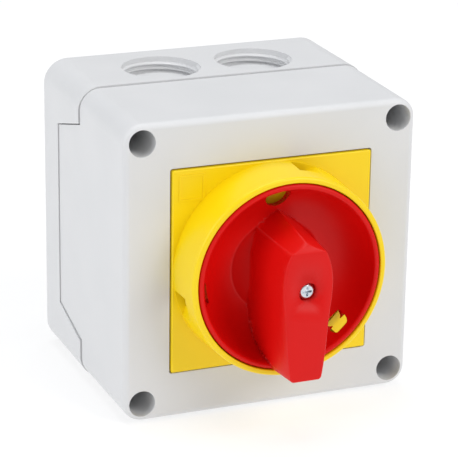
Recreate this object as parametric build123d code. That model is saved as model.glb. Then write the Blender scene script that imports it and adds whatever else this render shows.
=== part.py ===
from build123d import *
from math import cos, pi, radians, sin, sqrt, tan
import os

# Rotary isolator switch for a wall, in millimetres. The origin is the centre of the base's back
# face, on the wall. Seen from the front, +X is right and +Z is up, and +Y points into the wall.
# A depth is measured from the wall face towards the front, so a point at depth d has y = -d.
# The handle is stored at OFF, with its pointer up, and ON is a quarter turn clockwise.

os.makedirs("parts", exist_ok=True)

# Box: base and cover
base_width = 96.0          # square, at the wall
base_draft = 0.25          # degrees a side
base_corner = 7.75         # radius of the base's upright corners
base_wall = 3.0
back_wall = 3.0
box_depth = 74.1           # wall face to the cover's front face
split_depth = 34.8         # wall face to the cover's rear edge, top and bottom
split_gap = 0.4            # dark line between base and cover
cover_inset = 0.5          # how far the cover stands back from the base at the split
cover_draft = 0.73
cover_corner = 6.75
cover_wall = 3.0
face_thickness = 3.5
front_edge_radius = 2.0
skirt_depth = 14.2         # wall face to the rear edge of the cover's side skirts
skirt_top = 36.3           # where the upper slanted step meets the split
skirt_bottom = -34.7       # and the lower one
skirt_slant = 5.7          # rise of each slanted step

# Cover screws, in wells at the corners
screw_spacing = 82.2
well_radius = 4.15
well_floor = 4.3           # thickness left under a screw head
column_radius = 6.6
pillar_radius = 5.5
cover_screw_radius = 2.0
cover_screw_grip = 14.0    # length below the head
cover_head_height = 2.8
clearance = 0.2            # radial, screws through plain holes

# Gasket in the split
gasket_width = 1.4
gasket_height = 1.2        # depth of its groove in the cover
gasket_setback = 0.9       # from the cover's outer face

# Cable entries, two at the top and two at the bottom
entry_radius = 12.5        # M25 x 1.5 thread
entry_spacing = 31.2
entry_depth = 19.75        # wall face to the entries' axis
entry_thread = 4.8
membrane = 1.0
knockout_radius = 11.0     # middle of the weakened groove
knockout_groove = 0.8
knockout_cut = 0.6
entry_block_margin = 3.0   # of the thickened wall beyond the entries

# Wall fixings
fixing_spacing = 60.0
fixing_radius = 2.5
fixing_boss = 5.0
fixing_boss_height = 1.5

# Escutcheon: plate and guard ring, in a square recess
recess_width = 65.0
recess_depth = 1.5
recess_corner = 0.8
plate_gap = 0.5
plate_corner = 0.4
plate_proud = 0.8
ring_height = 15.8         # above the cover's face
ring_foot_wall = 2.35
ring_top_wall = 1.8
ring_gap = 0.3             # round the dish
ring_edge = 1.0
window_width = 6.0
window_low = 1.2
window_high = 9.0
window_ramp = 3.2
window_angles = (75.3, 194.7, 315.0)   # 0 is +X, 90 is up
mark_width = 8.2           # blank square frame in relief
mark_centre = (-25.9, 26.3)
mark_line = 0.7
mark_relief = 0.2
pad_width = 70.0
pad_thickness = 2.0        # added behind the face, under the recess

# Handle: dish and grip
dish_radius = 29.05
rim_height = 15.9          # heights are above the cover's face
rim_width = 1.8
floor_height = 4.2
bowl_width = 12.25         # of the arc between the flat floor and the rim
dish_wall = 2.2
skirt_height = 9.2         # lower edge of the dish's outer wall
boss_radius = 8.0
boss_height = 1.25
teardrop_radius = 14.1
teardrop_step = 0.4
grip_height = 28.8
grip_tip = 14.4            # height of the pointer's tip over the centre, at the grip's front
grip_foot_tip = 18.2       # and at the dish's floor
grip_shoulder = 12.2
facet_drop = 1.0           # of the pointer's tip, below the grip's front
grip_bottom_inset = 1.0    # of the grip's lower end from the dish's edge, at its front
grip_foot_inset = 0.15     # and at its foot
grip_edge = 0.5
grip_corner = 1.3
padlock_hole_radius = 3.75 # the round hole above the pointer
padlock_hole_inset = 5.95  # of its centre from the dish's edge
padlock_hole_angle = 93.0
padlock_slot_radius = 3.3  # the half-round holes on the left and the lower right
padlock_slot_inset = 4.85
padlock_slot_angles = (190.0, 314.0)
padlock_slot_lean = 32.0   # degrees outwards, behind the mouth of a half-round hole
padlock_edge = 2.2         # the holes stop this far inside the dish's edge

# Handle screw
recess_radius = 3.0
handle_head_radius = 2.35
handle_head_height = 1.8
handle_head_depth = 1.0    # below the grip's front
handle_screw_radius = 1.25
handle_screw_length = 12.0

# Shaft and seal
shaft_width = 6.0
shaft_top = 20.0           # above the cover's face
collar_margin = 0.26       # of the collar's radius over the square's corners
running_clearance = 0.1
turning_clearance = 0.3
seal_radius = 7.0
seal_thickness = 1.6

# Switch unit behind the cover
unit_width = 48.0
unit_height = 44.0
unit_corner = 2.5
latch_thickness = 12.0
latch_floor = 3.0
block_thickness = 13.0
block_floor = 2.0
end_plate_thickness = 3.0
unit_screw_spacing = 26.0
unit_screw_radius = 1.75
unit_screw_length = 13.0
unit_head_radius = 3.4
unit_head_height = 2.0
tie_spacing = 32.0
tie_radius = 1.75
tie_head_radius = 3.2
tie_head_height = 2.2
tie_slot = 0.8
nut_width = 6.0            # across its flats
nut_height = 2.6

# Latch
star_tip = 9.5
star_valley = 8.6
roller_radius = 2.8
roller_clearance = 0.15
detent_wall = 2.0
spring_wire = 0.5

# Contacts: the same stage twice
cam_high = 9.0
cam_travel = 2.0
cam_clearance = 0.3
cam_room = 9.6
contact_plate_x = 12.7     # inner face of a fixed contact
contact_thickness = 1.0
contact_width = 7.0
tip_thickness = 0.4
tip_radius = 1.6
tip_offset = 8.0           # from the bridge's middle
closed_gap = 0.1
contact_inner = 5.5
contact_outer = 20.5
bridge_length = 21.0
bridge_width = 6.0
plunger_width = 5.0
plunger_nose = 1.5
stem_width = 2.0
stem_length = 2.0
block_wall = 1.8
barrier_inner = 11.5
barrier_outer = 13.5
wire_radius = 1.9
clamp_inner = 14.5
clamp_depth = 6.0
terminal_screw_radius = 1.5
terminal_head_radius = 2.6
terminal_head_height = 2.0

# Earth terminal on the base's floor
earth_x = -39.0
earth_size = (7.0, 9.0, 14.0)
earth_wire_radius = 2.2
earth_screw_radius = 2.0
earth_head_radius = 3.0
earth_head_height = 2.4

# Places that follow from the sizes
base_half = base_width / 2
split_half = base_half - split_depth * tan(radians(base_draft)) - cover_inset
cover_width = 2 * (split_half + (split_depth - skirt_depth) * tan(radians(cover_draft)))
floor_radius = dish_radius - rim_width - bowl_width
ring_inner_radius = dish_radius + ring_gap
ring_foot_radius = ring_inner_radius + ring_foot_wall
ring_top_radius = ring_inner_radius + ring_top_wall
grip_bottom = dish_radius - grip_bottom_inset
grip_foot_bottom = dish_radius - grip_foot_inset
collar_radius = shaft_width / sqrt(2) + collar_margin
recess_floor = box_depth - recess_depth
plate_face = box_depth + plate_proud
unit_front = box_depth - face_thickness - pad_thickness
latch_back = unit_front - latch_thickness
stage_backs = (latch_back - block_thickness, latch_back - 2 * block_thickness)
unit_back = stage_backs[1] - end_plate_thickness
entry_floor = base_half - entry_thread
cam_thickness = block_thickness - block_floor - 2 * turning_clearance
contact_face = contact_plate_x + contact_thickness + tip_thickness
bridge_x = contact_face + closed_gap + cam_travel + tip_thickness
spring_seat = unit_width / 2 - block_wall
well_depth = split_depth + well_floor


def facing(depth, x=0, z=0):
    """A plane at a depth that faces the front: its x is +X and its y is +Z."""
    return Plane(origin=(x, -depth, z), x_dir=(1, 0, 0), z_dir=(0, -1, 0))


def lift(sketch, near, far, x=0, z=0):
    """The sketch as a solid from depth near to depth far."""
    return extrude(facing(near, x, z) * sketch, far - near)


def tapered_square(width, corner, near, far, draft):
    """A square with rounded corners that narrows towards the front."""
    return extrude(facing(near) * RectangleRounded(width, width, corner), far - near, taper=draft)


def four_corners(spacing):
    """The x and z of the corners of a square pattern."""
    return [(x * spacing / 2, z * spacing / 2) for x in (-1, 1) for z in (-1, 1)]


def cross_recess(head_radius, depth, front, x=0, z=0):
    """The cut of a cross-head driver in a screw whose head has its front face at a depth."""
    length = head_radius * 1.2
    width = head_radius * 0.28
    arm = Rectangle(length, width) + Rectangle(width, length)
    return lift(arm, front - depth, front, x, z)


def pan_screw(radius, length, head_radius, head_height, seat, x=0, z=0):
    """A pan-head screw driven from the front, with its head resting at depth seat."""
    head = lift(Circle(head_radius), seat, seat + head_height, x, z)
    head = fillet(head.edges().group_by(Axis.Y)[0], head_height * 0.4)
    shank = lift(Circle(radius), seat - length, seat, x, z)
    return head + shank - cross_recess(head_radius, head_height * 0.6, seat + head_height, x, z)


def save(name, solids):
    """Write one node, as one solid or as a group of separate solids."""
    shape = solids if not isinstance(solids, list) else Compound(children=solids)
    shape.label = name
    export_step(shape, f"parts/{name}.step")


# The split between base and cover, seen from the side as depth and height. The cover's side
# skirts reach towards the wall between two slanted steps.
side = Plane(origin=(0, 0, 0), x_dir=(0, -1, 0), z_dir=(-1, 0, 0))
cover_zone = make_face(
    side
    * Polyline(
        (split_depth, base_width),
        (split_depth, skirt_top),
        (skirt_depth, skirt_top - skirt_slant),
        (skirt_depth, skirt_bottom + skirt_slant),
        (split_depth, skirt_bottom),
        (split_depth, -base_width),
        (2 * box_depth, -base_width),
        (2 * box_depth, base_width),
        close=True,
    )
)


def across(face):
    """The side view's face as a solid that spans the box from left to right."""
    return extrude(face, base_width, both=True)


cover_side = across(cover_zone)
base_edge = across(offset(cover_zone, split_gap, kind=Kind.INTERSECTION))
groove_edge = across(offset(cover_zone, -gasket_height, kind=Kind.INTERSECTION))


def gasket():
    """A ring in the middle of the walls, which follows the steps of the split."""
    outer = 2 * (split_half - gasket_setback)
    ring = RectangleRounded(outer, outer, cover_corner - gasket_setback)
    inner = outer - 2 * gasket_width
    ring -= RectangleRounded(inner, inner, cover_corner - gasket_setback - gasket_width)
    return lift(ring, 0, box_depth) & (base_edge - groove_edge)


def base():
    """The rear half of the box, with cable entries, screw pillars and wall fixings."""
    outer = tapered_square(base_width, base_corner, 0, split_depth, base_draft)
    inner_width = base_width - 2 * base_wall
    inner = tapered_square(inner_width, base_corner - base_wall, back_wall, split_depth, base_draft)
    body = outer - inner
    for x, z in four_corners(screw_spacing):
        body += lift(Circle(pillar_radius), 0, split_depth, x, z)
    for x, z in four_corners(fixing_spacing):
        body += lift(Circle(fixing_boss), 0, back_wall + fixing_boss_height, x, z)
    block_half = entry_spacing / 2 + entry_radius + entry_block_margin
    block_floor_z = entry_floor - membrane
    block_height = base_half - base_wall / 2 - block_floor_z
    for side_of in (-1, 1):
        middle = side_of * (block_floor_z + block_height / 2)
        body += lift(Rectangle(2 * block_half, block_height), back_wall / 2, split_depth, 0, middle)
        for x in (-entry_spacing / 2, entry_spacing / 2):
            mouth = Pos(x, -entry_depth, side_of * (entry_floor + entry_thread))
            body -= mouth * Cylinder(entry_radius, 2 * entry_thread)
            groove = Cylinder(knockout_radius + knockout_groove / 2, 2 * knockout_cut)
            groove -= Cylinder(knockout_radius - knockout_groove / 2, 2 * knockout_cut)
            body -= Pos(x, -entry_depth, side_of * entry_floor) * groove
    for x, z in four_corners(screw_spacing):
        pilot = split_depth - split_gap
        body -= lift(Circle(cover_screw_radius), pilot - cover_screw_grip, split_depth, x, z)
    for x, z in four_corners(fixing_spacing):
        body -= lift(Circle(fixing_radius), 0, split_depth, x, z)
    return body - base_edge


def cover():
    """The front half of the box, with screw wells and the recess for the escutcheon."""
    outer = tapered_square(cover_width, cover_corner, skirt_depth, box_depth, cover_draft)
    shell = fillet(outer.edges().group_by(Axis.Y)[0], front_edge_radius)
    inner_width = cover_width - 2 * cover_wall
    inner_corner = cover_corner - cover_wall
    inner_front = box_depth - face_thickness
    body = shell - tapered_square(inner_width, inner_corner, skirt_depth, inner_front, cover_draft)
    for x, z in four_corners(screw_spacing):
        body += lift(Circle(column_radius), split_depth, inner_front, x, z) & outer
    pad_half = pad_width / 2
    body += lift(RectangleRounded(pad_width, pad_width, pad_half / 10), unit_front, inner_front)
    body -= lift(RectangleRounded(recess_width, recess_width, recess_corner), recess_floor, box_depth)
    body -= lift(Circle(collar_radius + turning_clearance), unit_front, box_depth)
    body -= lift(Circle(seal_radius), recess_floor - seal_thickness, recess_floor)
    for x, z in four_corners(unit_screw_spacing):
        body -= lift(Circle(unit_screw_radius + clearance), unit_front, box_depth, x, z)
    for x, z in four_corners(screw_spacing):
        body -= lift(Circle(well_radius), well_depth, box_depth, x, z)
        body -= lift(Circle(cover_screw_radius + clearance), split_depth, box_depth, x, z)
    return body & cover_side


def window_cut(angle, ramps):
    """The cut of a padlock window through the guard ring, with ramped lead-ins outside it."""
    half = window_width / 2
    near = ring_inner_radius - 1
    far = ring_foot_radius + 1
    skin = ring_inner_radius + 0.3
    cut = Polygon((near, -half), (far, -half), (far, half), (near, half), align=None)
    for ramp in ramps:
        start = ramp * half
        end = ramp * (half + window_ramp)
        corners = [(skin, start), (far, start), (far, end), (ring_foot_radius - 0.3, end)]
        cut += Polygon(*(corners if ramp > 0 else corners[::-1]), align=None)
    turned = Rot(0, 0, angle) * cut
    return lift(turned, box_depth + window_low, box_depth + window_high)


def escutcheon():
    """The square plate and the guard ring round the handle, one moulding."""
    width = recess_width - 2 * plate_gap
    plate = lift(RectangleRounded(width, width, plate_corner), recess_floor, plate_face)
    plate = fillet(plate.edges().group_by(Axis.Y)[0], plate_proud / 2)
    wall_height = ring_height - plate_proud
    lean = (ring_foot_radius - ring_top_radius) / wall_height
    foot = facing(plate_face) * Circle(ring_foot_radius)
    top = facing(box_depth + ring_height) * Circle(ring_foot_radius - lean * wall_height)
    ring = loft([foot, top])
    ring = fillet(ring.edges().group_by(Axis.Y)[0], ring_edge)
    ring -= lift(Circle(ring_inner_radius), plate_face, box_depth + ring_height)
    ring = fillet(ring.faces().sort_by(Axis.Y)[0].inner_wires()[0].edges(), ring_edge / 3)
    body = plate + ring
    for angle, ramps in zip(window_angles, ((-1,), (1,), (-1, 1))):
        body -= window_cut(angle, ramps)
    frame = Rectangle(mark_width, mark_width)
    frame -= Rectangle(mark_width - 2 * mark_line, mark_width - 2 * mark_line)
    body += lift(frame, plate_face, plate_face + mark_relief, *mark_centre)
    body -= lift(Circle(collar_radius + turning_clearance), recess_floor, plate_face)
    for x, z in four_corners(unit_screw_spacing):
        seat = facing(plate_face - unit_head_height, x, z) * Circle(unit_screw_radius + clearance)
        rim = facing(plate_face, x, z) * Circle(unit_head_radius + clearance)
        body -= loft([seat, rim])
        body -= lift(Circle(unit_screw_radius + clearance), recess_floor, plate_face, x, z)
    return body


# The dish's bowl is an arc that rises from a flat floor to the rim.
bowl_run = dish_radius - rim_width - floor_radius
bowl_rise = rim_height - rim_width / 2 - floor_height
bowl_curve = (bowl_run**2 + bowl_rise**2) / (2 * bowl_rise)


def bowl_height(radius, wall=0):
    """Height of the bowl's surface at a radius, or with a wall of the dish's underside."""
    across_run = radius - floor_radius
    return floor_height + bowl_curve - ((bowl_curve + wall) ** 2 - across_run**2) ** 0.5


def section_point(radius, height):
    """A point of the handle's turned section, beside its axis."""
    return (radius, -(box_depth + height), 0)


def bowl_edge(inner, outer, wall=0):
    """The bowl's arc between two radii, as an edge of the turned section."""
    radii = (inner, (inner + outer) / 2, outer)
    return ThreePointArc(*[section_point(r, bowl_height(r, wall)) for r in radii])


def dish():
    """The round dish, turned from its section, with a rounded rim and a hub boss behind."""
    rim_foot = rim_height - rim_width / 2
    rim_inner = dish_radius - rim_width
    skirt_inner = dish_radius - rim_width * 0.7
    under_floor = floor_height - dish_wall
    outline = [
        Line(section_point(0, boss_height), section_point(boss_radius, boss_height)),
        Line(section_point(boss_radius, boss_height), section_point(boss_radius, under_floor)),
        Line(section_point(boss_radius, under_floor), section_point(floor_radius, under_floor)),
        bowl_edge(floor_radius, skirt_inner, dish_wall),
        Line(
            section_point(skirt_inner, bowl_height(skirt_inner, dish_wall)),
            section_point(skirt_inner, skirt_height),
        ),
        Line(section_point(skirt_inner, skirt_height), section_point(dish_radius, skirt_height)),
        Line(section_point(dish_radius, skirt_height), section_point(dish_radius, rim_foot)),
        ThreePointArc(
            section_point(dish_radius, rim_foot),
            section_point(dish_radius - rim_width / 2, rim_height),
            section_point(rim_inner, rim_foot),
        ),
        bowl_edge(rim_inner, floor_radius),
        Line(section_point(floor_radius, floor_height), section_point(0, floor_height)),
        Line(section_point(0, floor_height), section_point(0, boss_height)),
    ]
    return revolve(make_face(outline), Axis.Y, 360)


def above_dish():
    """All the room in front of the dish's underside, which trims what stands on the dish."""
    under_floor = floor_height - dish_wall
    top = grip_height + 1
    outline = [
        Line(section_point(0, under_floor), section_point(floor_radius, under_floor)),
        bowl_edge(floor_radius, dish_radius, dish_wall),
        Line(
            section_point(dish_radius, bowl_height(dish_radius, dish_wall)),
            section_point(dish_radius, top),
        ),
        Line(section_point(dish_radius, top), section_point(0, top)),
        Line(section_point(0, top), section_point(0, under_floor)),
    ]
    return revolve(make_face(outline), Axis.Y, 360)


def grip_face(height, tip, right):
    """The grip's outline at a height: a pointed top, curved sides and a straight lower end."""
    left = [(-x, z) for x, z in reversed(right)]
    edges = [
        Line((0, tip), right[0]),
        Spline(*right),
        Line(right[-1], left[0]),
        Spline(*left),
        Line(left[-1], (0, tip)),
    ]
    return facing(box_depth + height) * make_face(edges)


def grip():
    """The raised grip, which points up at OFF and leans in slightly towards its front."""
    foot_side = [(6.5, 13.2), (8.7, 5.8), (9.0, 0), (9.0, -10), (8.7, -20), (6.6, -grip_foot_bottom)]
    front_side = [(5.4, grip_shoulder), (7.6, 5.3), (7.8, 1), (6.95, -7.7), (6.2, -17)]
    front_side.append((4.8, -grip_bottom))
    foot = grip_face(floor_height - dish_wall / 2, grip_foot_tip, foot_side)
    front = grip_face(grip_height, grip_tip, front_side)
    body = loft([foot, front], ruled=True)
    facet = Plane(
        origin=(0, -(box_depth + grip_height), grip_shoulder),
        x_dir=(1, 0, 0),
        z_dir=(0, grip_shoulder - grip_tip, facet_drop),
    )
    body = split(body, bisect_by=facet, keep=Keep.BOTTOM)
    low = body.edges().filter_by(lambda e: e.center().Z < -grip_bottom + grip_corner)
    body = fillet(low.filter_by(lambda e: abs(e.center().X) > grip_corner), grip_corner)
    facet_top = -(box_depth + grip_height - facet_drop)
    front_edges = body.edges().filter_by(lambda e: e.center().Y < facet_top + facet_drop / 2)
    body = fillet(front_edges, grip_edge)
    return body & above_dish()


def teardrop():
    """The low step on the dish's floor: a circle with two tangents that meet at the pointer's foot."""
    reach = (grip_foot_tip**2 - teardrop_radius**2) ** 0.5
    touch_z = teardrop_radius**2 / grip_foot_tip
    touch_x = teardrop_radius * reach / grip_foot_tip
    outline = Circle(teardrop_radius)
    outline += Polygon((0, grip_foot_tip), (-touch_x, touch_z), (0, 0), (touch_x, touch_z), align=None)
    floor = box_depth + floor_height
    return lift(outline, floor - dish_wall / 2, floor + teardrop_step)


def padlock_cuts():
    """The padlock holes: a round one at the pointer, and half-round ones that lean outwards."""
    along = Pos(dish_radius - padlock_hole_inset, 0)
    hole = Rot(0, 0, padlock_hole_angle) * along * Circle(padlock_hole_radius)
    edge = Circle(dish_radius - padlock_edge)
    front = box_depth + rim_height
    cuts = [lift(hole & edge, box_depth, front)]
    mouth = box_depth + bowl_height(dish_radius - padlock_edge)
    for angle in padlock_slot_angles:
        width = 2 * padlock_slot_radius
        outer_half = Pos(padlock_slot_radius, 0) * Rectangle(width, width)
        half = Circle(padlock_slot_radius) & outer_half
        slot = edge & Rot(0, 0, angle) * Pos(dish_radius - padlock_slot_inset, 0) * half
        out = tan(radians(padlock_slot_lean))
        lean = Vector(out * cos(radians(angle)), 1, out * sin(radians(angle)))
        cuts.append(lift(slot, mouth, front))
        cuts.append(extrude(facing(mouth) * slot, amount=mouth - box_depth, dir=lean))
        cuts.append(lift(slot, box_depth, mouth))
    return cuts


def handle():
    """Dish and grip in one moulding, with its screw's recess and the shaft's square socket."""
    body = dish()
    for cut in padlock_cuts():
        body -= cut
    body += teardrop() & above_dish()
    body += grip()
    front = box_depth + grip_height
    seat = front - handle_head_depth - handle_head_height
    socket = Rectangle(shaft_width, shaft_width)
    body -= lift(Circle(recess_radius), seat, front + 1)
    body -= lift(Circle(handle_screw_radius + clearance), box_depth, front)
    return body - lift(socket, box_depth, box_depth + shaft_top)


def handle_screw():
    """The cross-head screw that holds the handle on the shaft."""
    seat = box_depth + grip_height - handle_head_depth - handle_head_height
    return pan_screw(handle_screw_radius, handle_screw_length, handle_head_radius, handle_head_height, seat)


def shaft():
    """The square spindle, with a round collar where it passes through the cover."""
    square = Rectangle(shaft_width, shaft_width)
    bottom = unit_back + end_plate_thickness / 2
    body = lift(square, bottom, box_depth + shaft_top)
    body += lift(Circle(collar_radius), unit_front, plate_face)
    seat = box_depth + grip_height - handle_head_depth - handle_head_height
    return body - lift(Circle(handle_screw_radius), seat - handle_screw_length, box_depth + shaft_top)


def shaft_seal():
    """The rubber ring that seals the collar, in a counterbore under the escutcheon."""
    ring = Circle(seal_radius) - Circle(collar_radius + running_clearance)
    return lift(ring, recess_floor - seal_thickness, recess_floor)


def escutcheon_screws():
    """Countersunk screws through escutcheon and cover into the latch housing."""
    screws = []
    for x, z in four_corners(unit_screw_spacing):
        foot = facing(plate_face - unit_head_height, x, z) * Circle(unit_screw_radius)
        rim = facing(plate_face, x, z) * Circle(unit_head_radius)
        screw = loft([foot, rim])
        point = plate_face - unit_screw_length
        screw += lift(Circle(unit_screw_radius), point, plate_face - unit_head_height, x, z)
        screws.append(screw - cross_recess(unit_head_radius, unit_head_height * 0.6, plate_face, x, z))
    return screws


def cover_screws():
    """Pan-head screws deep in the corner wells, into the base's pillars."""
    head_radius = well_radius - 2 * clearance
    return [
        pan_screw(cover_screw_radius, cover_screw_grip, head_radius, cover_head_height, well_depth, x, z)
        for x, z in four_corners(screw_spacing)
    ]


def unit_plate():
    """The outline that all layers of the switch unit share."""
    return RectangleRounded(unit_width, unit_height, unit_corner)


def tie_holes(radius):
    """Two holes, above and below the shaft, for the tie bolts."""
    return Pos(0, tie_spacing / 2) * Circle(radius) + Pos(0, -tie_spacing / 2) * Circle(radius)


roller_centre = star_tip + roller_clearance + roller_radius
spring_start = roller_centre + roller_radius
latch_spring_length = unit_width / 2 - detent_wall - spring_start
star_thickness = latch_thickness - latch_floor - 2 * turning_clearance


def latch_housing():
    """The latch's case: a room for the star, slots for rollers and springs, and screw holes."""
    body = lift(unit_plate(), latch_back, unit_front)
    room = Circle(star_tip + 2 * turning_clearance)
    slot_length = unit_width - 2 * detent_wall
    room += Rectangle(slot_length, 2 * (roller_radius + clearance))
    body -= lift(room, latch_back, unit_front - latch_floor)
    body -= lift(Circle(collar_radius + turning_clearance), latch_back, unit_front)
    body -= lift(tie_holes(tie_radius + clearance), latch_back, unit_front)
    for side_of in (-1, 1):
        pocket = Pos(0, side_of * tie_spacing / 2) * RegularPolygon(nut_width / 2, 6, major_radius=False)
        body -= lift(pocket, unit_front - nut_height, unit_front)
    for x, z in four_corners(unit_screw_spacing):
        body -= lift(Circle(unit_screw_radius), plate_face - unit_screw_length, unit_front, x, z)
    return body


def detent_star():
    """A wheel with four shallow valleys, one for each quarter turn."""
    points = []
    for step in range(8):
        angle = pi / 4 * step
        radius = star_valley if step % 2 == 0 else star_tip
        points.append((radius * cos(angle), radius * sin(angle)))
    outline = make_face(Spline(*points, periodic=True))
    near = latch_back + turning_clearance
    return lift(outline - Rectangle(shaft_width, shaft_width), near, near + star_thickness)


def detent_rollers():
    """Two rollers, just clear of the star's tips."""
    near = latch_back + turning_clearance
    far = near + star_thickness
    return [lift(Circle(roller_radius), near, far, x) for x in (-roller_centre, roller_centre)]


def coil(radius, wire, length, turns):
    """A closed-section coil spring along +Z from the origin, as stacked rings on a thin web."""
    path = Helix(pitch=(length - wire) / turns, height=length - wire, radius=radius - wire / 2)
    section = Plane(path @ 0, z_dir=path % 0) * Circle(wire / 2)
    return Pos(0, 0, wire / 2) * sweep(section, path)


def detent_springs():
    """Coil springs between the rollers and the housing's ends."""
    middle = latch_back + turning_clearance + star_thickness / 2
    springs = []
    for side_of in (-1, 1):
        place = Plane(origin=(side_of * spring_start, -middle, 0), z_dir=(side_of, 0, 0))
        springs.append(place * coil(roller_radius - clearance, spring_wire, latch_spring_length, 5))
    return springs


def cam_outline():
    """Two lobes at left and right, each falling evenly to the valleys at top and bottom."""
    edges = []
    for quarter in range(4):
        points = []
        for step in range(7):
            share = step / 6
            fall = share if quarter % 2 == 0 else 1 - share
            radius = cam_high - cam_travel * fall
            angle = pi / 2 * (quarter + share)
            points.append((radius * cos(angle), radius * sin(angle)))
        edges.append(Spline(*points))
    return make_face(edges)


def cam(back):
    """The stage's cam, square on the shaft."""
    near = back + turning_clearance
    return lift(cam_outline() - Rectangle(shaft_width, shaft_width), near, near + cam_thickness)


def stage_middle(back):
    """The depth of the middle of a stage's contacts."""
    return back + (block_thickness - block_floor) / 2


def contact_block(back):
    """A stage's insulating case, open behind: rooms for cam, bridges, fixed contacts and clamps."""
    body = lift(unit_plate(), back, back + block_thickness)
    rooms = Circle(cam_room)
    slot = plunger_width + 2 * clearance
    rooms += Rectangle(2 * bridge_x, slot)
    for side_of in (-1, 1):
        bridge_start = contact_plate_x + contact_thickness
        bridge_room = spring_seat - bridge_start
        bridge_middle = side_of * (bridge_start + bridge_room / 2)
        rooms += Pos(bridge_middle, 0) * Rectangle(bridge_room, 2 * barrier_inner)
        for end in (-1, 1):
            strip = contact_outer - contact_inner
            strip_z = end * (contact_inner + strip / 2)
            strip_x = side_of * (contact_plate_x + contact_thickness / 2)
            rooms += Pos(strip_x, strip_z) * Rectangle(contact_thickness, strip)
            clamp_room = unit_height / 2 - barrier_outer
            clamp_z = end * (barrier_outer + clamp_room / 2)
            clamp_x = side_of * (contact_plate_x + (spring_seat - contact_plate_x) / 2)
            rooms += Pos(clamp_x, clamp_z) * Rectangle(spring_seat - contact_plate_x, clamp_room)
    body -= lift(rooms, back, back + block_thickness - block_floor)
    body -= lift(Circle(collar_radius + turning_clearance), back, back + block_thickness)
    body -= lift(tie_holes(tie_radius + clearance), back, back + block_thickness)
    access = Cylinder(terminal_head_radius + clearance, unit_width + 2, rotation=(0, 90, 0))
    for end in (-1, 1):
        screw_z = end * (clamp_inner + contact_outer) / 2
        body -= Pos(0, -stage_middle(back), screw_z) * access - lift(
            Rectangle(2 * contact_plate_x, unit_height), back, back + block_thickness
        )
    return body


def terminals(back):
    """A stage's four fixed contacts, each a strip with a contact tip and a wire clamp."""
    middle = stage_middle(back)
    near = middle - contact_width / 2
    far = middle + contact_width / 2
    pieces = []
    for side_of in (-1, 1):
        for end in (-1, 1):
            strip_length = contact_outer - contact_inner
            strip_x = side_of * (contact_plate_x + contact_thickness / 2)
            strip_z = end * (contact_inner + strip_length / 2)
            piece = lift(Rectangle(contact_thickness, strip_length), near, far, strip_x, strip_z)
            clamp_x = side_of * (contact_plate_x + contact_thickness + clamp_depth / 2)
            clamp_z = end * (clamp_inner + contact_outer) / 2
            clamp_length = contact_outer - clamp_inner
            piece += lift(Rectangle(clamp_depth, clamp_length), near, far, clamp_x, clamp_z)
            tip_x = side_of * (contact_face - tip_thickness / 2)
            tip = Cylinder(tip_radius, tip_thickness, rotation=(0, 90, 0))
            piece += Pos(tip_x, -middle, end * tip_offset) * tip
            piece -= Pos(clamp_x, -middle, clamp_z) * Cylinder(wire_radius, 2 * clamp_length)
            screw_hole = Cylinder(terminal_screw_radius, clamp_depth, rotation=(0, 90, 0))
            piece -= Pos(clamp_x + side_of * clamp_depth / 2, -middle, clamp_z) * screw_hole
            pieces.append(piece)
    return pieces


def terminal_screws():
    """A pan-head screw in each clamp, driven from the side."""
    screws = []
    seat_x = contact_plate_x + contact_thickness + clamp_depth
    shank_length = clamp_depth / 2
    for back in stage_backs:
        for side_of in (-1, 1):
            for end in (-1, 1):
                clamp_z = end * (clamp_inner + contact_outer) / 2
                head = Cylinder(terminal_head_radius, terminal_head_height)
                head = Pos(0, 0, terminal_head_height / 2) * head
                head = fillet(head.edges().group_by(Axis.Z)[-1], terminal_head_height * 0.3)
                slot = Box(2 * terminal_head_radius, 0.7, terminal_head_height)
                head -= Pos(0, 0, terminal_head_height) * slot
                shank = Pos(0, 0, -shank_length / 2) * Cylinder(terminal_screw_radius, shank_length)
                seat = (side_of * seat_x, -stage_middle(back), clamp_z)
                place = Plane(origin=seat, x_dir=(0, 0, 1), z_dir=(side_of, 0, 0))
                screws.append(place * (head + shank))
    return screws


def plunger(back, side_of):
    """A slider from the cam to a bridge, with a rounded nose and a stem for the bridge."""
    start = cam_high + cam_clearance
    length = bridge_x - start
    outline = Pos(start + length / 2, 0) * Rectangle(length, plunger_width)
    outline = fillet(outline.vertices().group_by(Axis.X)[0], plunger_nose)
    outline += Pos(bridge_x + stem_length / 2, 0) * Rectangle(stem_length, stem_width)
    middle = stage_middle(back)
    body = lift(outline, middle - bridge_width / 2, middle + bridge_width / 2)
    stem_zone = Pos(bridge_x + stem_length / 2, -middle, 0) * Box(stem_length, bridge_width, stem_width)
    stem = Pos(bridge_x + stem_length / 2, -middle, 0) * Box(stem_length, stem_width, stem_width)
    body -= stem_zone - stem
    return body if side_of > 0 else Rot(0, 180, 0) * body


def contact_bridge(back, side_of):
    """The moving contact: a bar with two tips that joins the fixed contacts when it moves in."""
    middle = stage_middle(back)
    bar_x = bridge_x + contact_thickness / 2
    body = Pos(bar_x, -middle, 0) * Box(contact_thickness, bridge_width, bridge_length)
    body -= Pos(bar_x, -middle, 0) * Box(contact_thickness, stem_width, stem_width)
    tip = Cylinder(tip_radius, tip_thickness, rotation=(0, 90, 0))
    for end in (-1, 1):
        body += Pos(bridge_x - tip_thickness / 2, -middle, end * tip_offset) * tip
    return body if side_of > 0 else Rot(0, 180, 0) * body


def bridge_spring(back, side_of):
    """The spring that pushes a bridge in, from the block's side wall."""
    start = bridge_x + contact_thickness
    place = Plane(origin=(side_of * start, -stage_middle(back), 0), z_dir=(side_of, 0, 0))
    return place * coil(stem_width * 1.25, spring_wire, spring_seat - start, 4)


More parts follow.
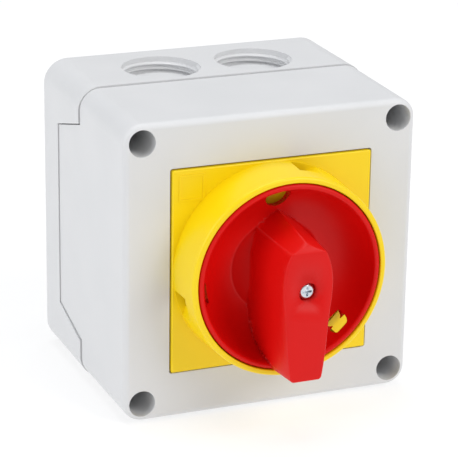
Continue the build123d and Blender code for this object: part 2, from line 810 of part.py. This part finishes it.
def end_plate():
    """The plate behind the last stage, with the shaft's rear bearing."""
    body = lift(unit_plate(), unit_back, unit_back + end_plate_thickness)
    body -= lift(Circle(collar_radius), unit_back + end_plate_thickness / 2, unit_back + end_plate_thickness)
    return body - lift(tie_holes(tie_radius + clearance), unit_back, unit_back + end_plate_thickness)


def tie_bolts():
    """Two long bolts from the end plate to the nuts in the latch housing."""
    bolts = []
    for side_of in (-1, 1):
        z = side_of * tie_spacing / 2
        bolt = lift(Circle(tie_radius), unit_back, unit_front - nut_height / 4, 0, z)
        head = lift(Circle(tie_head_radius), unit_back - tie_head_height, unit_back, 0, z)
        head = fillet(head.edges().group_by(Axis.Y)[-1], tie_head_height * 0.3)
        slot = Rectangle(2 * tie_head_radius, tie_slot)
        slot = lift(slot, unit_back - tie_head_height, unit_back - tie_head_height / 2, 0, z)
        bolts.append(bolt + head - slot)
    return bolts


def tie_nuts():
    """The nuts in the latch housing's pockets."""
    nuts = []
    for side_of in (-1, 1):
        outline = RegularPolygon(nut_width / 2, 6, major_radius=False) - Circle(tie_radius)
        nuts.append(lift(outline, unit_front - nut_height, unit_front, 0, side_of * tie_spacing / 2))
    return nuts


def earth_terminal():
    """A brass block on the base's floor, with a wire hole along it and a screw hole from the front."""
    width, height, length = earth_size
    body = lift(Rectangle(width, length), back_wall, back_wall + height, earth_x, 0)
    middle = back_wall + height / 2
    body -= Pos(earth_x, -middle, 0) * Cylinder(earth_wire_radius, 2 * length)
    return body - lift(Circle(earth_screw_radius), middle, back_wall + height, earth_x, 0)


def earth_screw():
    """The clamp screw of the earth terminal."""
    seat = back_wall + earth_size[1]
    length = earth_size[1] / 2
    return pan_screw(earth_screw_radius, length, earth_head_radius, earth_head_height, seat, earth_x, 0)


save("base", base())
save("cover", cover() - gasket())
save("cover_gasket", gasket())
save("cover_screws", cover_screws())
save("escutcheon", escutcheon())
save("escutcheon_screws", escutcheon_screws())
save("handle", handle())
save("handle_screw", handle_screw())
save("shaft", shaft())
save("shaft_seal", shaft_seal())
save("latch_housing", latch_housing())
save("detent_star", detent_star())
save("detent_rollers", detent_rollers())
save("detent_springs", detent_springs())
for stage, stage_back in zip(("front", "rear"), stage_backs):
    save(f"contact_block_{stage}", contact_block(stage_back))
    save(f"cam_{stage}", cam(stage_back))
    save(f"terminals_{stage}", terminals(stage_back))
    for side_name, side_of in (("left", -1), ("right", 1)):
        save(f"plunger_{stage}_{side_name}", plunger(stage_back, side_of))
        save(f"contact_bridge_{stage}_{side_name}", contact_bridge(stage_back, side_of))
        save(f"bridge_spring_{stage}_{side_name}", bridge_spring(stage_back, side_of))
save("terminal_screws", terminal_screws())
save("end_plate", end_plate())
save("tie_bolts", tie_bolts())
save("tie_nuts", tie_nuts())
save("earth_terminal", earth_terminal())
save("earth_screw", earth_screw())
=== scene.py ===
import math

import bpy
from mathutils import Matrix, Vector


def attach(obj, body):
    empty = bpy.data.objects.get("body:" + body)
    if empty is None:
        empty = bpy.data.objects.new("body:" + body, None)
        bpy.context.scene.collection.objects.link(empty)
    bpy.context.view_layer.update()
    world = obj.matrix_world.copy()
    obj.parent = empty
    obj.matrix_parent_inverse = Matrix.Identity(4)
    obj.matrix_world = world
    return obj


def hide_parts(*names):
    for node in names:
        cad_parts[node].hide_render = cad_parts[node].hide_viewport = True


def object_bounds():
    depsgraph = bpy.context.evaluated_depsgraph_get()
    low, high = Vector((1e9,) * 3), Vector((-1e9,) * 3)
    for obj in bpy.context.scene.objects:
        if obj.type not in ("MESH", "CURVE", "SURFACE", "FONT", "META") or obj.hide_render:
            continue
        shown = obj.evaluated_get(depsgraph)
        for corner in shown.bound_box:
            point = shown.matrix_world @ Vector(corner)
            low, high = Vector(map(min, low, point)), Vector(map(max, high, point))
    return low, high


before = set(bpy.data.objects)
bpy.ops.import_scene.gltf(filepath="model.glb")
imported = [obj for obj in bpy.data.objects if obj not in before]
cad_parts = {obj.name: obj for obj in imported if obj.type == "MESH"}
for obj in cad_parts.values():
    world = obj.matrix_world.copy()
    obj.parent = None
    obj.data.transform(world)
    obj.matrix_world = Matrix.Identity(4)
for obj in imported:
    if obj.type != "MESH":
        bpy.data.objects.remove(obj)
cad_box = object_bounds()

# Base. The rear half of the box, injection moulded in light grey ABS. Its top and bottom walls
# each have two M25 entries, closed by a thin membrane that is knocked out for a cable gland, and
# wall screws go through bosses in its back.
MM = 0.001


def linear(colour):
    """An sRGB hex colour as linear red, green and blue, with alpha."""
    parts = [int(colour[i:i + 2], 16) / 255 for i in (1, 3, 5)]
    return [p / 12.92 if p <= 0.04045 else ((p + 0.055) / 1.055) ** 2.4 for p in parts] + [1.0]


def add_node(material, kind, settings, inputs=(), outputs=()):
    """Add one node, set its values, and link its inputs and outputs to other nodes' sockets."""
    node = material.node_tree.nodes.new(kind)
    for name, value in settings.items():
        if isinstance(name, str) and hasattr(node, name):
            setattr(node, name, value)
        else:
            node.inputs[name].default_value = value
    for name, source in inputs:
        material.node_tree.links.new(source, node.inputs[name])
    for name, target in outputs:
        material.node_tree.links.new(node.outputs[name], target)
    return node


# Light grey ABS, moulded in a spark-eroded tool: a dry, even satin with a fine orange-peel grain
# and faint clouding where the melt flowed. The grain is 0.2 mm on the real shell and is drawn at
# 0.45 mm, so that it shows.
grain = 0.45 * MM
cloud = 22 * MM
grey_abs = bpy.data.materials.new("light_grey_abs_spark_eroded")
grey_abs.use_nodes = True
shader = grey_abs.node_tree.nodes["Principled BSDF"]
shader.inputs["IOR"].default_value = 1.53
place = add_node(grey_abs, "ShaderNodeTexCoord", {}).outputs["Object"]
clouds = add_node(
    grey_abs, "ShaderNodeTexNoise", {"Scale": 1 / cloud, "Detail": 3.0},
    [("Vector", place)],
)
add_node(
    grey_abs, "ShaderNodeMixRGB", {"Color1": linear("#D2D3D4"), "Color2": linear("#DBDBDC")},
    [("Fac", clouds.outputs["Fac"])], [("Color", shader.inputs["Base Color"])],
)
peel = add_node(grey_abs, "ShaderNodeTexNoise", {"Scale": 1 / grain, "Detail": 2.0}, [("Vector", place)])
add_node(
    grey_abs, "ShaderNodeMapRange", {"To Min": 0.42, "To Max": 0.58},
    [("Value", peel.outputs["Fac"])], [("Result", shader.inputs["Roughness"])],
)
add_node(
    grey_abs, "ShaderNodeBump", {"Strength": 0.22, "Distance": 0.03 * MM},
    [("Height", peel.outputs["Fac"])], [("Normal", shader.inputs["Normal"])],
)


def finish_node(name, *materials):
    """Give a CAD node its material."""
    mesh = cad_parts[name].data
    mesh.materials.clear()
    for material in materials:
        mesh.materials.append(material)


finish_node("base", grey_abs)

# Entry threads. An M25 x 1.5 thread is moulded in the wall of each entry, from near its mouth down
# to the membrane. It is part of the base, in the same ABS, with two full turns and narrow crests.
thread_pitch = 1.5 * MM
thread_foot = 0.92 * thread_pitch
thread_crest_share = 0.2
thread_root = 12.56 * MM
thread_crest = 11.72 * MM
thread_start = 43.2 * MM
thread_turns = 2
thread_steps = 72
thread_smooth = math.radians(35)
entry_x = 15.6 * MM
entry_y = -19.75 * MM


def take_up(piece):
    """Make one object the only one selected, and the active one."""
    bpy.ops.object.select_all(action="DESELECT")
    piece.select_set(True)
    bpy.context.view_layer.objects.active = piece


bpy.ops.object.select_all(action="DESELECT")
bpy.ops.mesh.primitive_plane_add(size=1.0, rotation=(math.pi / 2, 0, 0))
thread = bpy.context.object
thread.name = "entry_thread"
thread.scale = (thread_root - thread_crest, thread_foot, 1)
thread.location = ((thread_root + thread_crest) / 2, 0, thread_start + thread_foot / 2)
bpy.ops.object.transform_apply(location=True, rotation=True, scale=True)
for elements in (thread.data.vertices, thread.data.edges, thread.data.polygons):
    for element in elements:
        element.select = False
for edge in thread.data.edges:
    ends = [thread.data.vertices[i].co.x for i in edge.vertices]
    edge.select = max(ends) < (thread_crest + thread_root) / 2
bpy.ops.object.mode_set(mode="EDIT")
bpy.ops.mesh.select_mode(type="EDGE")
bpy.ops.transform.resize(value=(1, 1, thread_crest_share))
bpy.ops.mesh.select_all(action="SELECT")
bpy.ops.mesh.delete(type="ONLY_FACE")
bpy.ops.object.mode_set(mode="OBJECT")
sweep = thread.modifiers.new("turns", "SCREW")
sweep.axis = "Z"
sweep.screw_offset = thread_pitch
sweep.iterations = thread_turns
sweep.steps = sweep.render_steps = thread_steps
bpy.ops.object.modifier_apply(modifier="turns")
bpy.ops.object.mode_set(mode="EDIT")
bpy.ops.mesh.select_all(action="SELECT")
bpy.ops.mesh.fill_holes(sides=4)
bpy.ops.mesh.select_all(action="SELECT")
bpy.ops.mesh.normals_make_consistent(inside=False)
bpy.ops.object.mode_set(mode="OBJECT")
bpy.ops.object.shade_smooth_by_angle(angle=thread_smooth)
thread.data.materials.append(grey_abs)
for name, x, end in (
    ("top_right", entry_x, 0), ("bottom_left", -entry_x, math.pi), ("bottom_right", entry_x, math.pi),
    ("top_left", -entry_x, 0),
):
    take_up(thread)
    if name != "top_left":
        bpy.ops.object.duplicate(linked=False)
    piece = bpy.context.object
    piece.name = "entry_thread_" + name
    piece.rotation_euler = (end, 0, 0)
    piece.location = (x, entry_y, 0)
    bpy.ops.object.transform_apply(location=True, rotation=True, scale=True)
    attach(piece, "housing")

# Earth terminal. A brass block on the base's floor with a zinc-plated clamp screw, for the
# protective conductor. It is machined from bar, so it has a fine turned and sawn surface.
brass = bpy.data.materials.new("brass_bar_machined")
brass.use_nodes = True
shader = brass.node_tree.nodes["Principled BSDF"]
shader.inputs["Metallic"].default_value = 1.0
place = add_node(brass, "ShaderNodeTexCoord", {}).outputs["Object"]
lay = add_node(brass, "ShaderNodeMapping", {"Scale": (1, 12, 12)}, [("Vector", place)])
marks = add_node(
    brass, "ShaderNodeTexNoise", {"Scale": 1 / (0.8 * MM), "Detail": 3.0},
    [("Vector", lay.outputs["Vector"])],
)
add_node(
    brass, "ShaderNodeMixRGB", {"Color1": linear("#C79C52"), "Color2": linear("#DDBB74")},
    [("Fac", marks.outputs["Fac"])], [("Color", shader.inputs["Base Color"])],
)
add_node(
    brass, "ShaderNodeMapRange", {"To Min": 0.24, "To Max": 0.42},
    [("Value", marks.outputs["Fac"])], [("Result", shader.inputs["Roughness"])],
)
finish_node("earth_terminal", brass)

# Bright zinc plate on steel screws: a cool silver with a faint blue tint, smooth but slightly
# mottled, with the finest scratches drawn at 0.3 mm so that they show.
zinc = bpy.data.materials.new("steel_bright_zinc_plated")
zinc.use_nodes = True
shader = zinc.node_tree.nodes["Principled BSDF"]
shader.inputs["Metallic"].default_value = 1.0
place = add_node(zinc, "ShaderNodeTexCoord", {}).outputs["Object"]
mottle = add_node(
    zinc, "ShaderNodeTexNoise", {"Scale": 1 / (1.1 * MM), "Detail": 3.0},
    [("Vector", place)],
)
add_node(
    zinc, "ShaderNodeMixRGB", {"Color1": linear("#B9C2CC"), "Color2": linear("#E4E7EA")},
    [("Fac", mottle.outputs["Fac"])], [("Color", shader.inputs["Base Color"])],
)
scratch = add_node(
    zinc, "ShaderNodeTexNoise", {"Scale": 1 / (0.3 * MM), "Detail": 2.0},
    [("Vector", place)],
)
add_node(
    zinc, "ShaderNodeMapRange", {"To Min": 0.16, "To Max": 0.36},
    [("Value", scratch.outputs["Fac"])], [("Result", shader.inputs["Roughness"])],
)
add_node(
    zinc, "ShaderNodeBump", {"Strength": 0.25, "Distance": 0.02 * MM},
    [("Height", scratch.outputs["Fac"])], [("Normal", shader.inputs["Normal"])],
)
finish_node("earth_screw", zinc)

# Cover gasket. A soft black EPDM cord laid in the groove of the split, which keeps water out when
# the cover is screwed down. It is extruded, so it is dull, with a faint powdery bloom.
rubber = bpy.data.materials.new("black_epdm_extruded")
rubber.use_nodes = True
shader = rubber.node_tree.nodes["Principled BSDF"]
shader.inputs["Roughness"].default_value = 0.82
place = add_node(rubber, "ShaderNodeTexCoord", {}).outputs["Object"]
bloom = add_node(
    rubber, "ShaderNodeTexNoise", {"Scale": 1 / (3 * MM), "Detail": 4.0},
    [("Vector", place)],
)
add_node(
    rubber, "ShaderNodeMixRGB", {"Color1": linear("#151516"), "Color2": linear("#29292B")},
    [("Fac", bloom.outputs["Fac"])], [("Color", shader.inputs["Base Color"])],
)
pores = add_node(rubber, "ShaderNodeTexNoise", {"Scale": 1 / (0.35 * MM)}, [("Vector", place)])
add_node(
    rubber, "ShaderNodeBump", {"Strength": 0.3, "Distance": 0.04 * MM},
    [("Height", pores.outputs["Fac"])], [("Normal", shader.inputs["Normal"])],
)
finish_node("cover_gasket", rubber)
finish_node("shaft_seal", rubber)

# Cover. The front half of the box, moulded in the same light grey ABS as the base. It laps over
# the base on both sides, and four deep wells in its corners take the cover screws.
finish_node("cover", grey_abs)

# Cover screws. Four zinc-plated pan-head screws at the bottom of the corner wells, turned into
# the pillars of the base.
finish_node("cover_screws", zinc)

# Escutcheon. The plate and its guard ring are one moulding in signal yellow ABS, let into the
# cover. A padlock's shackle goes out through the three windows in the ring.
# The tool was polished, so the yellow is glossier than the shell, with only a slight ripple.
yellow_abs = bpy.data.materials.new("signal_yellow_abs_polished_tool")
yellow_abs.use_nodes = True
shader = yellow_abs.node_tree.nodes["Principled BSDF"]
shader.inputs["IOR"].default_value = 1.53
shader.inputs["Specular IOR Level"].default_value = 0.35
place = add_node(yellow_abs, "ShaderNodeTexCoord", {}).outputs["Object"]
clouds = add_node(
    yellow_abs, "ShaderNodeTexNoise", {"Scale": 1 / (14 * MM), "Detail": 3.0},
    [("Vector", place)],
)
add_node(
    yellow_abs, "ShaderNodeMixRGB", {"Color1": linear("#F2CE00"), "Color2": linear("#F5D603")},
    [("Fac", clouds.outputs["Fac"])], [("Color", shader.inputs["Base Color"])],
)
ripple = add_node(
    yellow_abs, "ShaderNodeTexNoise", {"Scale": 1 / (0.6 * MM), "Detail": 2.0},
    [("Vector", place)],
)
add_node(
    yellow_abs, "ShaderNodeMapRange", {"To Min": 0.3, "To Max": 0.42},
    [("Value", ripple.outputs["Fac"])], [("Result", shader.inputs["Roughness"])],
)
add_node(
    yellow_abs, "ShaderNodeBump", {"Strength": 0.12, "Distance": 0.03 * MM},
    [("Height", ripple.outputs["Fac"])], [("Normal", shader.inputs["Normal"])],
)
finish_node("escutcheon", yellow_abs)
finish_node("escutcheon_screws", zinc)

# Latch. A star wheel between two sprung rollers holds the shaft at each quarter turn. Its case
# is moulded in black glass-filled nylon and is screwed to the cover behind the escutcheon.
# The short glass fibres show as faint grey flecks, about 0.3 mm, in a dull black.
black_nylon = bpy.data.materials.new("black_nylon_glass_filled")
black_nylon.use_nodes = True
shader = black_nylon.node_tree.nodes["Principled BSDF"]
place = add_node(black_nylon, "ShaderNodeTexCoord", {}).outputs["Object"]
flecks = add_node(
    black_nylon, "ShaderNodeTexVoronoi", {"Scale": 1 / (0.3 * MM), "Randomness": 1.0},
    [("Vector", place)],
)
add_node(
    black_nylon, "ShaderNodeMixRGB", {"Color1": linear("#3A3B3D"), "Color2": linear("#19191B")},
    [("Fac", flecks.outputs["Distance"])], [("Color", shader.inputs["Base Color"])],
)
add_node(
    black_nylon, "ShaderNodeMapRange", {"To Min": 0.48, "To Max": 0.7},
    [("Value", flecks.outputs["Distance"])], [("Result", shader.inputs["Roughness"])],
)
finish_node("latch_housing", black_nylon)

# Natural nylon, unfilled, for the parts that rub: a waxy ivory that lets a little light in, with
# a satin surface and slow tone changes from uneven cooling.
nylon = bpy.data.materials.new("natural_nylon_moulded")
nylon.use_nodes = True
shader = nylon.node_tree.nodes["Principled BSDF"]
shader.inputs["Subsurface Weight"].default_value = 0.15
shader.inputs["Subsurface Scale"].default_value = 1.0 * MM
place = add_node(nylon, "ShaderNodeTexCoord", {}).outputs["Object"]
clouds = add_node(
    nylon, "ShaderNodeTexNoise", {"Scale": 1 / (5 * MM), "Detail": 2.0},
    [("Vector", place)],
)
add_node(
    nylon, "ShaderNodeMixRGB", {"Color1": linear("#E2DCC8"), "Color2": linear("#EFEBDD")},
    [("Fac", clouds.outputs["Fac"])], [("Color", shader.inputs["Base Color"])],
)
add_node(
    nylon, "ShaderNodeMapRange", {"To Min": 0.35, "To Max": 0.5},
    [("Value", clouds.outputs["Fac"])], [("Result", shader.inputs["Roughness"])],
)
finish_node("detent_star", nylon)

# Cold-drawn bright steel for the rollers and the square shaft: grey metal with fine draw lines
# along its length, drawn 0.25 mm apart.
drawn_steel = bpy.data.materials.new("bright_steel_cold_drawn")
drawn_steel.use_nodes = True
shader = drawn_steel.node_tree.nodes["Principled BSDF"]
shader.inputs["Metallic"].default_value = 1.0
place = add_node(drawn_steel, "ShaderNodeTexCoord", {}).outputs["Object"]
lay = add_node(drawn_steel, "ShaderNodeMapping", {"Scale": (1, 0.03, 1)}, [("Vector", place)])
lines = add_node(
    drawn_steel, "ShaderNodeTexNoise", {"Scale": 1 / (0.25 * MM), "Detail": 2.0},
    [("Vector", lay.outputs["Vector"])],
)
add_node(
    drawn_steel, "ShaderNodeMixRGB", {"Color1": linear("#A9ABAF"), "Color2": linear("#C9CACC")},
    [("Fac", lines.outputs["Fac"])], [("Color", shader.inputs["Base Color"])],
)
add_node(
    drawn_steel, "ShaderNodeMapRange", {"To Min": 0.22, "To Max": 0.4},
    [("Value", lines.outputs["Fac"])], [("Result", shader.inputs["Roughness"])],
)
finish_node("detent_rollers", drawn_steel)

# Spring wire, oil-hardened: darker than the drawn steel, with a thin brown-grey film that is
# worn bright in patches.
spring_wire = bpy.data.materials.new("spring_steel_oil_hardened")
spring_wire.use_nodes = True
shader = spring_wire.node_tree.nodes["Principled BSDF"]
shader.inputs["Metallic"].default_value = 1.0
place = add_node(spring_wire, "ShaderNodeTexCoord", {}).outputs["Object"]
film = add_node(
    spring_wire, "ShaderNodeTexNoise", {"Scale": 1 / (0.9 * MM), "Detail": 3.0},
    [("Vector", place)],
)
add_node(
    spring_wire, "ShaderNodeMixRGB", {"Color1": linear("#7C7B79"), "Color2": linear("#A8A9AB")},
    [("Fac", film.outputs["Fac"])], [("Color", shader.inputs["Base Color"])],
)
add_node(
    spring_wire, "ShaderNodeMapRange", {"To Min": 0.28, "To Max": 0.46},
    [("Value", film.outputs["Fac"])], [("Result", shader.inputs["Roughness"])],
)
finish_node("detent_springs", spring_wire)

# Contact stages. Two equal black cases are stacked behind the latch. A nylon cam on the shaft
# lets a plunger on each side come in, and the brass bridge on it closes two fixed contacts.
for stage in ("front", "rear"):
    finish_node("contact_block_" + stage, black_nylon)
    finish_node("cam_" + stage, nylon)
    finish_node("terminals_" + stage, brass)
    for side in ("left", "right"):
        finish_node("plunger_" + stage + "_" + side, nylon)
        finish_node("contact_bridge_" + stage + "_" + side, brass)
        finish_node("bridge_spring_" + stage + "_" + side, spring_wire)
finish_node("terminal_screws", zinc)

# End plate and ties. A black plate closes the stack at its back, and two long zinc-plated bolts
# with hexagon nuts in the latch's case hold all the layers together.
finish_node("end_plate", black_nylon)
finish_node("tie_bolts", zinc)
finish_node("tie_nuts", zinc)

# Shaft. A square bar of drawn steel that carries the star and both cams, with a turned collar
# where it goes through the cover and its seal.
finish_node("shaft", drawn_steel)

# Handle. The round dish and the grip are one moulding in signal red nylon, pressed on the shaft's
# square end. The padlock holes go through the dish. The moulding has a silky surface, a little
# smoother than the shell, and the red is strong and even, with faint flow clouds.
red_nylon = bpy.data.materials.new("signal_red_nylon_moulded")
red_nylon.use_nodes = True
shader = red_nylon.node_tree.nodes["Principled BSDF"]
shader.inputs["IOR"].default_value = 1.5
shader.inputs["Specular IOR Level"].default_value = 0.22
place = add_node(red_nylon, "ShaderNodeTexCoord", {}).outputs["Object"]
clouds = add_node(
    red_nylon, "ShaderNodeTexNoise", {"Scale": 1 / (9 * MM), "Detail": 3.0},
    [("Vector", place)],
)
add_node(
    red_nylon, "ShaderNodeMixRGB", {"Color1": linear("#D20603"), "Color2": linear("#D90A06")},
    [("Fac", clouds.outputs["Fac"])], [("Color", shader.inputs["Base Color"])],
)
peel = add_node(
    red_nylon, "ShaderNodeTexNoise", {"Scale": 1 / (0.5 * MM), "Detail": 2.0},
    [("Vector", place)],
)
add_node(
    red_nylon, "ShaderNodeMapRange", {"To Min": 0.36, "To Max": 0.5},
    [("Value", peel.outputs["Fac"])], [("Result", shader.inputs["Roughness"])],
)
add_node(
    red_nylon, "ShaderNodeBump", {"Strength": 0.15, "Distance": 0.03 * MM},
    [("Height", peel.outputs["Fac"])], [("Normal", shader.inputs["Normal"])],
)
finish_node("handle", red_nylon)

# The moulding's mesh is the CAD's, with a thin web trimmed off that crosses each half-round
# padlock hole behind its mouth. Each trimming block takes in a web and a little of the wall at
# its two ends, which leaves a small notch there.
web_radius = 27.1 * MM
web_y = -82.6 * MM
web_size = (0.62 * MM, 1.6 * MM, 6.3 * MM)
web_angles = (190.0, 314.0)
merge_distance = 0.001 * MM
handle_smooth = math.radians(30)

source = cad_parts["handle"]
moulding = bpy.data.objects.new("handle_moulding", source.data.copy())
bpy.context.collection.objects.link(moulding)
moulding.data.transform(source.matrix_world)
take_up(moulding)
bpy.ops.object.mode_set(mode="EDIT")
bpy.ops.mesh.select_all(action="SELECT")
bpy.ops.mesh.remove_doubles(threshold=merge_distance)
bpy.ops.mesh.normals_make_consistent(inside=False)
bpy.ops.object.mode_set(mode="OBJECT")
for angle in web_angles:
    turned = math.radians(angle)
    web_place = (web_radius * math.cos(turned), web_y, web_radius * math.sin(turned))
    bpy.ops.object.select_all(action="DESELECT")
    bpy.ops.mesh.primitive_cube_add(
        size=1.0, location=web_place, rotation=(0, -turned, 0), scale=web_size,
    )
    cutter = bpy.context.object
    take_up(moulding)
    trim = moulding.modifiers.new("trim", "BOOLEAN")
    trim.operation = "DIFFERENCE"
    trim.object = cutter
    bpy.ops.object.modifier_apply(modifier="trim")
    bpy.data.objects.remove(cutter)
bpy.ops.object.shade_smooth_by_angle(angle=handle_smooth)
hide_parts("handle")
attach(moulding, "handle")

# Handle screw. A small zinc-plated pan head with a cross recess, sunk in the grip's front, which
# clamps the handle to the shaft.
finish_node("handle_screw", zinc)

# Camera. It stands to the left of the switch and above it, and looks slightly down at the front
# through a long lens.
camera_place = Vector((-245.3, -648.3, 230.6)) * MM
camera_aim = Vector((1.8, -37.0, 1.95)) * MM
camera_roll = math.radians(0.854)
camera_lens = 172.9
camera_shift = (-0.0037, -0.0285)

bpy.ops.object.select_all(action="DESELECT")
bpy.ops.object.camera_add(location=camera_place)
camera = bpy.context.object
camera.name = "camera"
turn = (camera_aim - camera_place).to_track_quat("-Z", "Y").to_matrix()
camera.rotation_euler = (turn @ Matrix.Rotation(camera_roll, 3, "Z")).to_euler()
camera.data.lens = camera_lens
camera.data.sensor_width = 36.0
camera.data.shift_x, camera.data.shift_y = camera_shift
camera.data.clip_start = 0.01
bpy.context.scene.camera = camera

# Studio. A white table that glows softly, as a light table does, a large soft light from the
# upper right front, one from the left for the side of the box, and one overhead.
table_glow = 0.62
bpy.ops.object.select_all(action="DESELECT")
bpy.ops.mesh.primitive_plane_add(size=8.0, location=(0, 0, cad_box[0][2]))
table = bpy.context.object
table.name = "light_table"
acrylic = bpy.data.materials.new("white_acrylic_lit_from_below")
acrylic.use_nodes = True
shader = acrylic.node_tree.nodes["Principled BSDF"]
shader.inputs["Base Color"].default_value = (0.4, 0.4, 0.4, 1)
shader.inputs["Roughness"].default_value = 0.9
shader.inputs["Emission Color"].default_value = (1, 1, 1, 1)
shader.inputs["Emission Strength"].default_value = table_glow
table.data.materials.append(acrylic)

air = bpy.data.worlds.new("studio_air")
bpy.context.scene.world = air
air.use_nodes = True
air.node_tree.nodes["Background"].inputs["Color"].default_value = (0.97, 0.98, 1, 1)
air.node_tree.nodes["Background"].inputs["Strength"].default_value = 0.46


def area_light(name, place, size, power, colour):
    """A square soft light at a place, turned to face the switch."""
    bpy.ops.object.light_add(type="AREA", location=place)
    light = bpy.context.object
    light.name = name
    light.data.size = size
    light.data.energy = power
    light.data.color = colour
    light.rotation_euler = (camera_aim - Vector(place)).to_track_quat("-Z", "Y").to_euler()


area_light("key_light", (0.8, -1.1, 1.0), 0.9, 11.7, (1, 0.992, 0.975))
area_light("side_light", (-1.3, -0.25, 0.5), 0.8, 6.9, (0.96, 0.975, 1))
area_light("top_light", (0.0, 0.1, 1.3), 0.8, 6.6, (0.96, 0.975, 1))
bpy.context.scene.view_settings.view_transform = "Standard"
